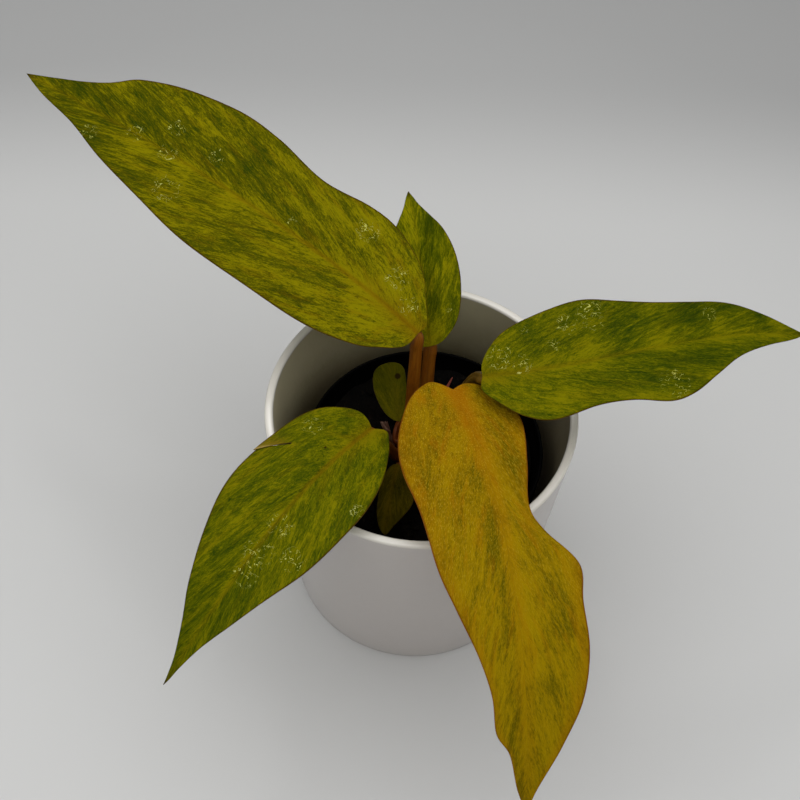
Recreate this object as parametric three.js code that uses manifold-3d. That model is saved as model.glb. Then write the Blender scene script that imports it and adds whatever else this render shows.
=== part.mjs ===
// A potted philodendron: a white cover pot, the black nursery pot standing in it,
// potting soil, and a young plant with seven leaves. Millimetres, +Z up.
// The origin is the centre of the cover pot's base. -Y is the side the newest leaf hangs over.
import * as THREE from "three";
import { mergeVertices } from "three/addons/utils/BufferGeometryUtils.js";
import Module from "manifold-3d";

const wasm = await Module();
wasm.setup();

// ---------- driving dimensions ----------
const GAP = 0.3; // left between pieces that touch

const COVER_POT = { height: 125.4, rimRadius: 65, baseRadius: 55.1, wall: 3.6, floor: 5, foot: 1.2 };
const NURSERY_POT = {
  center: [2, -2], height: 94, rimRadius: 50.5, footRadius: 40, wall: 1.4, floor: 2,
  collar: 9, collarStep: 1.6, drainHoles: 6, drainRadius: 4, drainCircle: 26,
};
const SOIL = { top: 90.5, crown: 1.2 }; // height at the wall, and how much higher the middle is
const STEM = { foot: [-3, -1, 60], tip: [-3, -1, 103], radius: 4 };
const ROOT = { count: 5, reach: 33, radius: 1.7, tipRadius: 0.7, low: 16 }; // low: height of the deepest tip

const BLADE_THICKNESS = 0.9;
const SEAT_GAP = 1.6; // from a stalk's end to the blade that it carries

// ---------- materials ----------
const finish = (color, roughness) => new THREE.MeshStandardMaterial({ color, roughness, metalness: 0 });
const WHITE_CERAMIC = finish(0xe9e7e3, 0.45);
const BLACK_PLASTIC = finish(0x151515, 0.55);
const PEAT = finish(0x1b140f, 0.95);
const GREEN_LEAF = finish(0x6f7f1e, 0.35);
const AMBER_LEAF = finish(0xa8860f, 0.35);
const DARK_LEAF = finish(0x4a4a16, 0.4);
const ORANGE_STALK = finish(0xa1611c, 0.4);
const BARK = finish(0x6a3b22, 0.6);
const PINK_SHEATH = finish(0xb5766a, 0.6);
const RED_SPIKE = finish(0x7d2420, 0.4);
const ROOT_SKIN = finish(0xc9b18a, 0.8);

// ---------- helpers ----------
const vec = (p) => new THREE.Vector3(...p);

function bezier(points) {
  return new THREE.CubicBezierCurve3(...points.map(vec));
}

function closedGeometry(vertices, triangles) {
  const geometry = new THREE.BufferGeometry();
  const coordinates = vertices.flatMap((v) => v.toArray());
  geometry.setAttribute("position", new THREE.Float32BufferAttribute(coordinates, 3));
  geometry.setIndex(triangles.flat());
  geometry.computeVertexNormals();
  return geometry;
}

// A round stalk along a curve, its radius running from r0 to r1, closed by a centre point at each end.
function taperedTube(curve, r0, r1, segments, sides) {
  const frames = curve.computeFrenetFrames(segments, false);
  const vertices = [];
  for (let i = 0; i <= segments; i++) {
    const center = curve.getPointAt(i / segments);
    const radius = r0 + ((r1 - r0) * i) / segments;
    for (let j = 0; j < sides; j++) {
      const a = (2 * Math.PI * j) / sides;
      vertices.push(center.clone()
        .addScaledVector(frames.normals[i], radius * Math.cos(a))
        .addScaledVector(frames.binormals[i], radius * Math.sin(a)));
    }
  }
  const start = vertices.push(curve.getPointAt(0)) - 1;
  const end = vertices.push(curve.getPointAt(1)) - 1;
  const at = (i, j) => i * sides + (j % sides);
  const triangles = [];
  for (let j = 0; j < sides; j++) {
    triangles.push([start, at(0, j + 1), at(0, j)], [end, at(segments, j), at(segments, j + 1)]);
    for (let i = 0; i < segments; i++) {
      triangles.push([at(i, j), at(i, j + 1), at(i + 1, j)], [at(i, j + 1), at(i + 1, j + 1), at(i + 1, j)]);
    }
  }
  return closedGeometry(vertices, triangles);
}

function toSolid(geometry) {
  const bare = geometry.clone();
  bare.deleteAttribute("normal");
  bare.deleteAttribute("uv");
  const merged = mergeVertices(bare, 1e-4);
  return new wasm.Manifold(new wasm.Mesh({
    numProp: 3,
    vertProperties: new Float32Array(merged.attributes.position.array),
    triVerts: new Uint32Array(merged.index.array),
  }));
}

function fromSolid(solid) {
  const mesh = solid.getMesh();
  const geometry = new THREE.BufferGeometry();
  geometry.setAttribute("position", new THREE.Float32BufferAttribute(mesh.vertProperties, 3));
  geometry.setIndex(new THREE.Uint32BufferAttribute(mesh.triVerts, 1));
  geometry.computeVertexNormals();
  return geometry;
}

// A profile of [radius, height] pairs turned about a vertical axis through center.
function turned(profile, segments, center = [0, 0]) {
  const lathe = new THREE.LatheGeometry(profile.map(([r, z]) => new THREE.Vector2(r, z)), segments);
  return lathe.rotateX(Math.PI / 2).translate(center[0], center[1], 0);
}

// ---------- pots and soil ----------
function coverPot() {
  const { height, rimRadius, baseRadius, wall, floor, foot } = COVER_POT;
  const slope = (rimRadius - baseRadius) / height;
  const outer = (z) => baseRadius + slope * z;
  const lip = wall / 2;
  const profile = [[0, 0], [baseRadius - foot, 0], [outer(foot), foot]];
  for (let i = 0; i <= 6; i++) {
    const a = (Math.PI * i) / 6; // the rounded lip, from the outer wall over to the inner one
    profile.push([rimRadius - lip + lip * Math.cos(a), height - lip + lip * Math.sin(a)]);
  }
  profile.push([outer(floor + 6) - wall, floor + 6], [outer(floor) - wall - 6, floor], [0, floor]);
  return turned(profile, 72);
}

function nurseryPot() {
  const { center, height, rimRadius, footRadius, wall, floor, collar, collarStep } = NURSERY_POT;
  const foot = COVER_POT.floor + GAP;
  const top = foot + height;
  const body = rimRadius - collarStep;
  const outline = [
    [0, foot], [footRadius, foot], [body, top - collar - 1], [rimRadius - 0.4, top - collar],
    [rimRadius, top - 0.5], [rimRadius - 0.6, top], [rimRadius - wall, top - 0.3],
    [rimRadius - wall - 0.3, top - collar], [body - wall, top - collar - 1.5],
    [footRadius - wall, foot + floor], [0, foot + floor],
  ];
  let pot = toSolid(turned(outline, 56, center));
  for (let i = 0; i < NURSERY_POT.drainHoles; i++) {
    const a = (2 * Math.PI * i) / NURSERY_POT.drainHoles;
    const hole = new THREE.CylinderGeometry(NURSERY_POT.drainRadius, NURSERY_POT.drainRadius, 4 * floor, 20)
      .rotateX(Math.PI / 2)
      .translate(center[0] + NURSERY_POT.drainCircle * Math.cos(a),
        center[1] + NURSERY_POT.drainCircle * Math.sin(a), foot + floor / 2);
    pot = pot.subtract(toSolid(hole));
  }
  return fromSolid(pot);
}

// Made `extra` mm bigger all round, the stem cuts its own hole in the soil.
const mainStem = (extra = 0) => {
  const z0 = STEM.foot[2] - extra;
  const z1 = STEM.tip[2] + extra;
  const r = STEM.radius + extra;
  const side = [[0, z0], [r - 1, z0], [r, z0 + 1], [r, z1 - 6]];
  const dome = [[r * 0.8, z1 - 2.5], [r * 0.45, z1 - 0.6], [0, z1]];
  return turned([...side, ...dome], 24, STEM.foot);
};

// The roots grow as one piece from a short stub under the stem, and turn down towards the pot's wall.
function roots(extra = 0) {
  const [x, y, z] = STEM.foot;
  const top = z - GAP + extra;
  const stub = STEM.radius - 0.6 + extra;
  let mass = toSolid(turned([[0, z - 9 - extra], [stub, z - 7], [stub, top], [0, top]], 20, [x, y]));
  for (let i = 0; i < ROOT.count; i++) {
    const a = (2 * Math.PI * (i + 0.3)) / ROOT.count;
    const out = (r, depth) => {
      const turn = a + depth / 160; // a root winds a little as it goes down
      return [x + r * Math.cos(turn), y + r * Math.sin(turn), z - depth];
    };
    const low = z - ROOT.low - 5 * (i % 2); // every other root stops a little higher
    const [start, level] = [out(0, 5), out(ROOT.reach * 0.7, 4)];
    const [turnDown, end] = [out(ROOT.reach, low * 0.4), out(ROOT.reach - 8, low + 1.5 * extra)];
    const curve = bezier([start, level, turnDown, end]);
    mass = mass.add(toSolid(taperedTube(curve, ROOT.radius + extra, ROOT.tipRadius + extra, 9, 7)));
  }
  return mass;
}

function pottingSoil() {
  const { center, height, rimRadius, footRadius, wall, floor, collar, collarStep } = NURSERY_POT;
  const foot = COVER_POT.floor + GAP;
  const bottom = foot + floor + GAP;
  const waist = foot + height - collar - 1.5;
  const innerFoot = footRadius - wall - GAP;
  const innerWaist = rimRadius - collarStep - wall - GAP;
  const profile = [
    [0, bottom], [innerFoot - 0.6, bottom], [innerWaist - 0.6, waist - 0.4], [innerWaist - 0.4, SOIL.top],
    [innerWaist * 0.7, SOIL.top + SOIL.crown * 0.7], [innerWaist * 0.35, SOIL.top + SOIL.crown],
    [0, SOIL.top + SOIL.crown],
  ];
  const filled = toSolid(turned(profile, 48, center));
  return fromSolid(filled.subtract(toSolid(mainStem(GAP))).subtract(roots(GAP)));
}

// ---------- leaves ----------
// A blade is drawn flat and then bent. Flat, each half's edge is a list of [station, width]: station 0 is
// where the stalk joins and 1 is the tip, and width is in mm from the midrib. Lobes behind the stalk have a
// station below 0. Bent, the midrib follows `rib` and each half rises by `fold` and curls down by `curl`.
const LEAVES = {
  1: { // the largest leaf, held up and to the back left
    rib: [[-3, 16, 156], [-57, 58, 175], [-126, 89, 191], [-179, 138, 170]],
    left: [[0, 8], [0.03, 15], [0.08, 22], [0.18, 28], [0.32, 30], [0.46, 29], [0.58, 24], [0.7, 18],
      [0.81, 10], [0.92, 5]],
    right: [[0, 5], [0.03, 12], [0.08, 22], [0.16, 29], [0.23, 30], [0.33, 27], [0.44, 31], [0.54, 33],
      [0.66, 30], [0.75, 23], [0.81, 13], [0.92, 5]],
    face: [0.12, -0.3, 1], fold: 0.12, curl: 0.004, wave: 1.2, waves: 3,
    stalk: [[-4.9, 5.6, 94], [-4.1, 7.2, 118], [-3.6, 12, 138]], stalkRadius: [2.7, 2.1], color: GREEN_LEAF,
  },
  2: { // a small upright leaf behind it
    rib: [[2, 24, 136], [-1, 39, 150], [-4, 56, 163], [-9.3, 74.5, 175]],
    left: [[0.02, 6], [0.12, 11], [0.25, 14], [0.4, 15], [0.55, 14.5], [0.69, 11.5], [0.8, 7.5],
      [0.9, 3.4], [0.96, 1.6]],
    right: [[0.02, 5], [0.08, 9.5], [0.17, 13.5], [0.3, 15.8], [0.46, 16.5], [0.61, 15.3], [0.74, 12],
      [0.83, 7.5], [0.91, 3.4], [0.96, 1.6]],
    face: [-0.3, -0.75, 1], fold: 0.12, curl: 0.004, wave: 0.4, waves: 2,
    stalk: [[0.8, 5.6, 94], [1.9, 13, 108], [1.9, 21, 122]], stalkRadius: [2.5, 2.4], color: GREEN_LEAF,
  },
  3: { // the glossy leaf reaching right
    rib: [[23, -3, 155], [72, -4, 168], [117, 24, 161], [159, 35, 140]],
    left: [[0, 5], [0.02, 11], [0.06, 17], [0.12, 21], [0.21, 24], [0.31, 25], [0.42, 22], [0.53, 19],
      [0.63, 16], [0.75, 14], [0.85, 9], [0.94, 3]],
    right: [[0, 6], [0.04, 12], [0.1, 19], [0.17, 22], [0.28, 19], [0.37, 20], [0.47, 24], [0.55, 22],
      [0.64, 16], [0.73, 10], [0.84, 6], [0.94, 3]],
    face: [-0.05, -0.25, 1], fold: 0.1, curl: 0.003, wave: 1, waves: 3,
    stalk: [[4.6, -2.8, 94.5], [11, 4, 110], [19.5, 15.5, 135.5]], stalkRadius: [2.5, 1.9], color: GREEN_LEAF,
  },
  4: { // the newest leaf, amber, hanging over the front of the rim
    rib: [[12, -3, 145], [35, -60, 158], [43, -121, 142], [45, -155, 86]],
    left: [[-0.004, 5], [0.012, 10.5], [0.05, 17], [0.13, 20], [0.23, 16], [0.33, 11.5], [0.39, 15],
      [0.47, 26], [0.55, 25], [0.65, 25], [0.76, 21], [0.85, 13], [0.94, 4]],
    right: [[-0.03, 5], [-0.035, 9], [-0.01, 17], [0.04, 24], [0.11, 30], [0.19, 32], [0.3, 30], [0.44, 28],
      [0.54, 23], [0.64, 17], [0.73, 13], [0.81, 12], [0.86, 7], [0.94, 4]],
    face: [0.1, -0.25, 1], fold: 0.11, curl: 0.004, wave: 0.8, waves: 3,
    stalk: [[0.5, -7.1, 94.5], [3, -9, 112], [8, -8, 128]], stalkRadius: [2.5, 1.9], color: AMBER_LEAF,
  },
  5: { // the leaf over the front left of the rim, with a tear in its outer edge
    rib: [[-20, -15, 132], [-50, -53, 148], [-73, -92, 132], [-97, -112, 92]],
    left: [[-0.02, 5], [0.01, 10], [0.06, 15.5], [0.14, 21.5], [0.25, 25.3], [0.36, 25], [0.48, 22],
      [0.59, 17], [0.71, 11], [0.83, 4.8], [0.92, 1.9], [0.97, 0.9]],
    right: [[-0.014, 4.5], [-0.016, 9], [0.006, 14.2], [0.06, 21], [0.14, 24.8], [0.27, 26.8], [0.38, 27],
      [0.49, 24.6], [0.6, 20.2], [0.7, 14.5], [0.8, 8], [0.9, 3], [0.96, 1]],
    face: [-0.15, -0.2, 1], fold: 0.12, curl: 0.004, wave: 0.8, waves: 3,
    stalk: [[-8.4, -5.5, 94.5], [-13, -7, 104], [-15, -11, 118]], stalkRadius: [2.4, 1.9], color: GREEN_LEAF,
  },
  6: { // a small rounded early leaf low at the back
    rib: [[-9, 9.5, 100], [-10, 18, 104], [-12.5, 26, 106.6], [-14.8, 34.5, 108.3]],
    left: [[0.04, 3], [0.16, 6], [0.34, 8], [0.55, 9], [0.75, 8.5], [0.89, 7], [0.97, 4]],
    right: [[0.08, 2], [0.25, 4], [0.5, 5], [0.7, 5.8], [0.87, 5.6], [0.96, 3.4]],
    face: [0, -0.2, 1], fold: 0.1, curl: 0.004, wave: 0.2, waves: 2,
    stalk: [[-10, 2.6, 94.5], [-11, 4, 96.5], [-10.3, 7, 98.5]], stalkRadius: [1.3, 1.1], color: DARK_LEAF,
  },
  7: { // a small dark early leaf low at the front
    rib: [[-9, -13, 102], [-11, -23, 102.5], [-12.5, -35, 101.3], [-13, -45.6, 98.8]],
    left: [[0.04, 2.5], [0.14, 4.5], [0.3, 8], [0.48, 9.8], [0.6, 9.3], [0.74, 6.5], [0.88, 3], [0.96, 1.4]],
    right: [[0.04, 2], [0.14, 3.6], [0.3, 4.8], [0.5, 5], [0.7, 4.6], [0.86, 3.4], [0.95, 1.8]],
    face: [-0.1, -0.1, 1], fold: 0.1, curl: 0.004, wave: 0.2, waves: 2,
    stalk: [[-4.2, -8, 94.5], [-5, -9.5, 97], [-7, -11, 100]], stalkRadius: [1.3, 1.1], color: DARK_LEAF,
  },
};

// Two dry sheaths that once wrapped new leaves: one torn and pink, one a red spike still closed.
const SHEATH = {
  rib: [[-11.5, -1.2, 94.5], [-13, -1.5, 103], [-14.5, -2, 111], [-16.5, -1, 119]],
  left: [[0.02, 2], [0.3, 2.8], [0.6, 2.6], [0.85, 1.6]],
  right: [[0.02, 2], [0.3, 2.6], [0.6, 2.2], [0.85, 1.8]],
  face: [1, 0.15, 0.4], fold: 0.1, curl: 0.05, wave: 0, waves: 1,
};
const SPIKE = {
  curve: [[4.5, 2, 94.5], [5.6, 8, 106], [8.2, 13, 114], [12.6, 19, 121.5]],
  radius: [1.8, 0.35],
};

// A point of the bent blade, at a station along the midrib and a signed width from it.
function bladePoint(leaf, rib, station, width, lift) {
  const t = THREE.MathUtils.clamp(station, 0, 1);
  const along = rib.getTangent(t);
  const across = vec(leaf.face).cross(along).normalize();
  const out = along.clone().cross(across);
  const behind = rib.v1.clone().sub(rib.v0); // the way the midrib sets out from the stalk
  const point = rib.getPoint(t).addScaledVector(behind, 3 * Math.min(station, 0));
  const w = Math.abs(width);
  const rise = leaf.fold * w - leaf.curl * w * w + lift;
  return point.addScaledVector(across, width).addScaledVector(out, rise);
}

// A closed blade: rows run from the midrib out to the edge, sloping towards the tip as the veins do.
function blade(leaf, rows, halfColumns) {
  const rib = bezier(leaf.rib);
  const length = rib.getLength();
  const outline = (edge) => new THREE.SplineCurve(
    [[0, 0], ...edge, [1, 0]].map(([station, width]) => new THREE.Vector2(station * length, width)));
  const curves = { 1: outline(leaf.left), "-1": outline(leaf.right) };
  const vertices = [];
  for (const lift of [BLADE_THICKNESS / 2, -BLADE_THICKNESS / 2]) {
    vertices.push(bladePoint(leaf, rib, 0, 0, lift));
    for (let i = 1; i < rows; i++) {
      const k = i / rows;
      for (let j = -halfColumns; j <= halfColumns; j++) {
        const side = j < 0 ? -1 : 1;
        const s = Math.abs(j) / halfColumns;
        const rim = curves[side].getPointAt(k);
        const station = THREE.MathUtils.lerp(k ** 1.5, rim.x / length, s);
        const swell = Math.sin(2 * Math.PI * leaf.waves * k + side) * Math.sin(Math.PI * k);
        const ripple = leaf.wave * s * s * swell;
        vertices.push(bladePoint(leaf, rib, station, side * s * rim.y, lift + ripple));
      }
    }
    vertices.push(bladePoint(leaf, rib, 1, 0, lift));
  }

  const columns = 2 * halfColumns + 1;
  const layer = (rows - 1) * columns + 2;
  const at = (i, j) => (i === 0 ? 0 : i === rows ? layer - 1 : 1 + (i - 1) * columns + j);
  const upper = [];
  for (let j = 0; j < columns - 1; j++) {
    upper.push([at(0), at(1, j + 1), at(1, j)], [at(rows), at(rows - 1, j), at(rows - 1, j + 1)]);
    for (let i = 1; i < rows - 1; i++) {
      upper.push([at(i, j), at(i, j + 1), at(i + 1, j)], [at(i, j + 1), at(i + 1, j + 1), at(i + 1, j)]);
    }
  }
  // The edge wall follows the right margin out to the tip and the left margin back to the stalk.
  const margin = [at(0)];
  for (let i = 1; i < rows; i++) margin.push(at(i, 0));
  margin.push(at(rows));
  for (let i = rows - 1; i > 0; i--) margin.push(at(i, columns - 1));
  const triangles = [];
  for (const [a, b, c] of upper) triangles.push([a, c, b], [a + layer, b + layer, c + layer]);
  margin.forEach((a, i) => {
    const b = margin[(i + 1) % margin.length];
    triangles.push([a, a + layer, b], [b, a + layer, b + layer]);
  });
  return closedGeometry(vertices, triangles);
}

// The stalk ends just under the blade's joint, so its last point comes from the blade's rib.
function stalk(leaf) {
  const joint = vec(leaf.rib[0]);
  const last = vec(leaf.stalk[2]);
  const end = joint.clone().add(last.clone().sub(joint).setLength(SEAT_GAP));
  const curve = new THREE.CubicBezierCurve3(...leaf.stalk.map(vec), end);
  return taperedTube(curve, ...leaf.stalkRadius, leaf.stalkRadius[0] > 2 ? 12 : 6, 10);
}

// ---------- assembly ----------
const plant = new THREE.Group();
plant.name = "potted_philodendron";

function addPiece(name, geometry, material) {
  const mesh = new THREE.Mesh(geometry, material);
  mesh.name = name;
  plant.add(mesh);
}

addPiece("cover_pot", coverPot(), WHITE_CERAMIC);
addPiece("nursery_pot", nurseryPot(), BLACK_PLASTIC);
addPiece("potting_soil", pottingSoil(), PEAT);
addPiece("roots", fromSolid(roots()), ROOT_SKIN);
addPiece("main_stem", mainStem(), BARK);
for (const [number, leaf] of Object.entries(LEAVES)) {
  const large = leaf.stalkRadius[0] > 2;
  addPiece(`leaf_blade_${number}`, blade(leaf, large ? 20 : 12, large ? 3 : 2), leaf.color);
  addPiece(`leaf_stalk_${number}`, stalk(leaf), ORANGE_STALK);
}
addPiece("dry_sheath", blade(SHEATH, 8, 2), PINK_SHEATH);
addPiece("new_leaf_spike", taperedTube(bezier(SPIKE.curve), ...SPIKE.radius, 10, 10), RED_SPIKE);

export default plant;
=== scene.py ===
# %% [markdown]
# # A potted philodendron
# The finished object is a white ceramic cover pot. A black grower's pot stands in it with the soil and a
# young plant: seven leaves on orange stalks, a dry sheath and a red spike with the next leaf in it.
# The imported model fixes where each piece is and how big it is. This lesson gives each piece its fine
# surface and its finish, in the same place, working in metres.

# %% Load the frame
import math

import bpy
import numpy as np
from mathutils import Matrix, Vector


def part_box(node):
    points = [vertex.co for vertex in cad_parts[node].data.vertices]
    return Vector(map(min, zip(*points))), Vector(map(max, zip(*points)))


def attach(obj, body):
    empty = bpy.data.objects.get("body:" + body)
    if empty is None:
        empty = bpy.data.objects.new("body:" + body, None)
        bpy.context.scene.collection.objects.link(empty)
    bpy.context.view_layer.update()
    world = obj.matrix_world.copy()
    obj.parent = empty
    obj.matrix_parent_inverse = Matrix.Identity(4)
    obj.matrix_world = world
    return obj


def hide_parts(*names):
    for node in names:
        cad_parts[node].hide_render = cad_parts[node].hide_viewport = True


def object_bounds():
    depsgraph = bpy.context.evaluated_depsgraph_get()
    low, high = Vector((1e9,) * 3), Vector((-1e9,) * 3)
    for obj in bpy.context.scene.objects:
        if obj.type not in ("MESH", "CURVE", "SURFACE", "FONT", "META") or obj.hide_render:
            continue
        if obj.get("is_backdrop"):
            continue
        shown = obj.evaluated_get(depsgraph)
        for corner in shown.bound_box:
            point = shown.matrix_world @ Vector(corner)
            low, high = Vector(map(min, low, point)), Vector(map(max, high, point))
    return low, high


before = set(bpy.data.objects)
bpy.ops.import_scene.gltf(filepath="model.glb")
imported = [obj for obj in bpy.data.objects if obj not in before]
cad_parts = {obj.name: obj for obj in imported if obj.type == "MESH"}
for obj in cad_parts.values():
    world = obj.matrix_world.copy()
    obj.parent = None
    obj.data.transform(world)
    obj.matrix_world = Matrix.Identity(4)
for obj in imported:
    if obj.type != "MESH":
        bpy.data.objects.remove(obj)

MM = 0.001
cad_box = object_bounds()
print("packed nodes:", len(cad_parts))

# %% [markdown]
# ## Camera
# The plant is looked down on from the front, a little more than halfway to straight down, which shows
# every leaf's upper face and the inside of the pot. A lens a third longer than a normal one keeps the
# pot's sides nearly parallel. The camera is turned by its pitch first and then rolled about its own view
# axis.

# %% Place the camera
CAMERA_AT = Vector((-0.00916, -0.33966, 0.64413))
CAMERA_PITCH = math.radians(56.49)  # below the horizon
CAMERA_ROLL = math.radians(2.36)
SENSOR_WIDTH, LENS = 36, 67.5  # mm

camera_data = bpy.data.cameras.new("camera")
camera_data.sensor_width = SENSOR_WIDTH
camera_data.lens = LENS
camera = bpy.data.objects.new("camera", camera_data)
bpy.context.scene.collection.objects.link(camera)
turn = Matrix.Rotation(math.pi / 2 - CAMERA_PITCH, 4, "X") @ Matrix.Rotation(CAMERA_ROLL, 4, "Z")
camera.matrix_world = Matrix.Translation(CAMERA_AT) @ turn
bpy.context.scene.camera = camera
bpy.context.scene.view_settings.view_transform = "Standard"
print("camera looks down by", round(math.degrees(CAMERA_PITCH), 1), "degrees")

# %% [markdown]
# ## Writing finishes as arithmetic
# A finish is a small network of shader nodes. Written node by node it is hard to read, so `Value` wraps
# one output socket and lets `+`, `-` and `*` add the Math nodes. `Nodes.node` makes any other node: its
# settings are set first, because they can change which sockets it has, and then its inputs.

# %% A socket that can be calculated with
class Value:
    """One output socket of a node tree."""

    def __init__(self, nodes, socket):
        self.nodes, self.socket = nodes, socket

    def math(self, operation, *others):
        return self.nodes.node("ShaderNodeMath", {"operation": operation}, [self, *others])

    def __add__(self, other):
        return self.math("ADD", other)

    def __sub__(self, other):
        return self.math("SUBTRACT", other)

    def __mul__(self, other):
        return self.math("MULTIPLY", other)

    def __rsub__(self, other):
        return self.nodes.node("ShaderNodeMath", {"operation": "SUBTRACT"}, [other, self])

    __radd__ = __add__
    __rmul__ = __mul__

    def between(self, low, high):
        """0 below low, 1 above high, and a smooth step from one to the other."""
        return self.nodes.node(
            "ShaderNodeMapRange",
            {"interpolation_type": "SMOOTHSTEP"},
            {"Value": self, "From Min": low, "From Max": high},
        )


print("a value can be added, subtracted, multiplied and smoothed between two limits")


# %% A tree of nodes, and the few kinds that the finishes use
class Nodes:
    """The nodes of one material or backdrop."""

    def __init__(self, tree):
        self.tree = tree

    def node(self, kind, settings=None, inputs=(), out=0):
        node = self.tree.nodes.new(kind)
        for key, setting in (settings or {}).items():
            setattr(node, key, setting)
        for key, value in inputs.items() if isinstance(inputs, dict) else enumerate(inputs):
            if isinstance(value, Value):
                self.tree.links.new(value.socket, node.inputs[key])
            else:
                node.inputs[key].default_value = value
        return Value(self, node.outputs[out])

    def axes(self, vector):
        """The three numbers of a vector."""
        parts = self.node("ShaderNodeSeparateXYZ", inputs=[vector])
        return [Value(self, socket) for socket in parts.socket.node.outputs]

    def attribute(self, name):
        """A vector stored on the mesh, and its three numbers."""
        vector = self.node("ShaderNodeAttribute", {"attribute_name": name}, out="Vector")
        return vector, *self.axes(vector)

    def place(self):
        """Where a point is on the object, in metres."""
        return self.node("ShaderNodeTexCoord", out="Object")

    def stretched(self, vector, scale):
        return self.node("ShaderNodeVectorMath", {"operation": "MULTIPLY"}, [vector, scale])

    def noise(self, vector, scale=1.0, detail=3.0, rough=0.55, warp=0.0):
        return self.node(
            "ShaderNodeTexNoise", {},
            {"Vector": vector, "Scale": scale, "Detail": detail, "Roughness": rough, "Distortion": warp},
        )

    def blend(self, factor, a, b):
        """Colour a where factor is 0 and b where it is 1."""
        a, b = (c if isinstance(c, Value) else (*c, 1) for c in (a, b))
        return self.node("ShaderNodeMix", {"data_type": "RGBA"}, {0: factor, 6: a, 7: b}, out=2)

    def bump(self, height, distance, strength):
        return self.node("ShaderNodeBump", {}, {"Strength": strength, "Distance": distance, "Height": height})


print("nodes can be made for axes, attributes, places, stretching, noise, blends and bumps")


# %% A finish: one material
class Finish(Nodes):
    """A material with one Principled shader, fed by expressions."""

    def __init__(self, name):
        self.material = bpy.data.materials.new(name)
        self.material.use_nodes = True
        super().__init__(self.material.node_tree)
        self.tree.nodes.clear()
        output = self.tree.nodes.new("ShaderNodeOutputMaterial")
        self.shader = self.tree.nodes.new("ShaderNodeBsdfPrincipled")
        self.tree.links.new(self.shader.outputs[0], output.inputs["Surface"])

    def finish(self, **sockets):
        """Sets the shader's sockets by name, with _ for a space."""
        for key, value in sockets.items():
            socket = self.shader.inputs[key.replace("_", " ")]
            if isinstance(value, Value):
                self.tree.links.new(value.socket, socket)
            else:
                is_colour = socket.type == "RGBA"
                socket.default_value = (*value, 1) if is_colour else value
        print("finish:", self.material.name, "with", len(self.tree.nodes), "nodes")
        return self.material


print("a finish is a tree of nodes that ends in one Principled shader")


# %% [markdown]
# ## Making meshes
# Every surface here is a grid of points: round the axis for the pots, along a curve for stalks, and out
# along the veins for leaves. The points are worked out with numpy and handed to Blender in one call.
# `add_piece` also hides the imported node that the piece stands for, and sets which of its finishes each face
# takes.

# %% Hand a mesh to Blender
def add_piece(name, points, faces, materials, node=None, attributes=None, face_material=None):
    mesh = bpy.data.meshes.new(name)
    mesh.from_pydata([tuple(p) for p in points], [], [tuple(f) for f in faces])
    for material in materials:
        mesh.materials.append(material)
    if face_material is not None:
        mesh.polygons.foreach_set("material_index", face_material)
    mesh.polygons.foreach_set("use_smooth", [True] * len(mesh.polygons))
    for key, values in (attributes or {}).items():
        layer = mesh.attributes.new(key, "FLOAT_VECTOR", "POINT")
        layer.data.foreach_set("vector", np.asarray(values, float).ravel())
    mesh.update()
    piece = bpy.data.objects.new(name, mesh)
    bpy.context.scene.collection.objects.link(piece)
    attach(piece, "root")
    if node:
        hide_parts(node)
    print(name, "has", len(mesh.vertices), "points")
    return piece


# %% Curves and smooth randomness
def bezier(points, t):
    p0, p1, p2, p3 = (np.array(p, float) for p in points)
    t = np.asarray(t, float)[..., None]
    return (1 - t) ** 3 * p0 + 3 * (1 - t) ** 2 * t * p1 + 3 * (1 - t) * t**2 * p2 + t**3 * p3


def bezier_direction(points, t):
    p0, p1, p2, p3 = (np.array(p, float) for p in points)
    t = np.asarray(t, float)[..., None]
    return unit(3 * (1 - t) ** 2 * (p1 - p0) + 6 * (1 - t) * t * (p2 - p1) + 3 * t**2 * (p3 - p2))


def unit(v):
    return v / np.linalg.norm(v, axis=-1, keepdims=True)


def smooth_line(points, count):
    """Evenly spaced points on a smooth curve through the given ones."""
    p = np.array(points, float)
    padded = np.vstack([p[0], p, p[-1]])
    pieces = []
    for a, b, c, d in zip(padded, padded[1:], padded[2:], padded[3:]):
        t = np.linspace(0, 1, 24, endpoint=False)[:, None]
        v0, v1 = (c - a) / 2, (d - b) / 2
        pieces.append((2 * b - 2 * c + v0 + v1) * t**3 + (3 * c - 3 * b - 2 * v0 - v1) * t**2 + v0 * t + b)
    line = np.vstack([*pieces, p[-1:]])
    run = np.r_[0, np.cumsum(np.linalg.norm(np.diff(line, axis=0), axis=1))]
    even = np.linspace(0, run[-1], count)
    return np.stack([np.interp(even, run, line[:, i]) for i in range(p.shape[1])], axis=1)


def ripple(seed, *coordinates, waves=7):
    """Smooth noise between about -1 and 1: a few sine waves in random directions."""
    rng = np.random.default_rng(seed)
    total = 0
    for _ in range(waves):
        total = total + np.sin(sum(rng.uniform(-1, 1) * c for c in coordinates) + rng.uniform(0, 2 * math.pi))
    return total / math.sqrt(waves)


print("a ripple at four places:", np.round(ripple(1, np.arange(4.0)), 2))


# %% [markdown]
# ## Turned pieces
# A ceramic cover pot is cast or jiggered: it is round about its axis, with one profile all the way round.
# So is the grower's pot, which is moulded. A Screw modifier would turn a profile too, but a plain grid
# lets the clay's slight unevenness be put in while the points are made.

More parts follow.
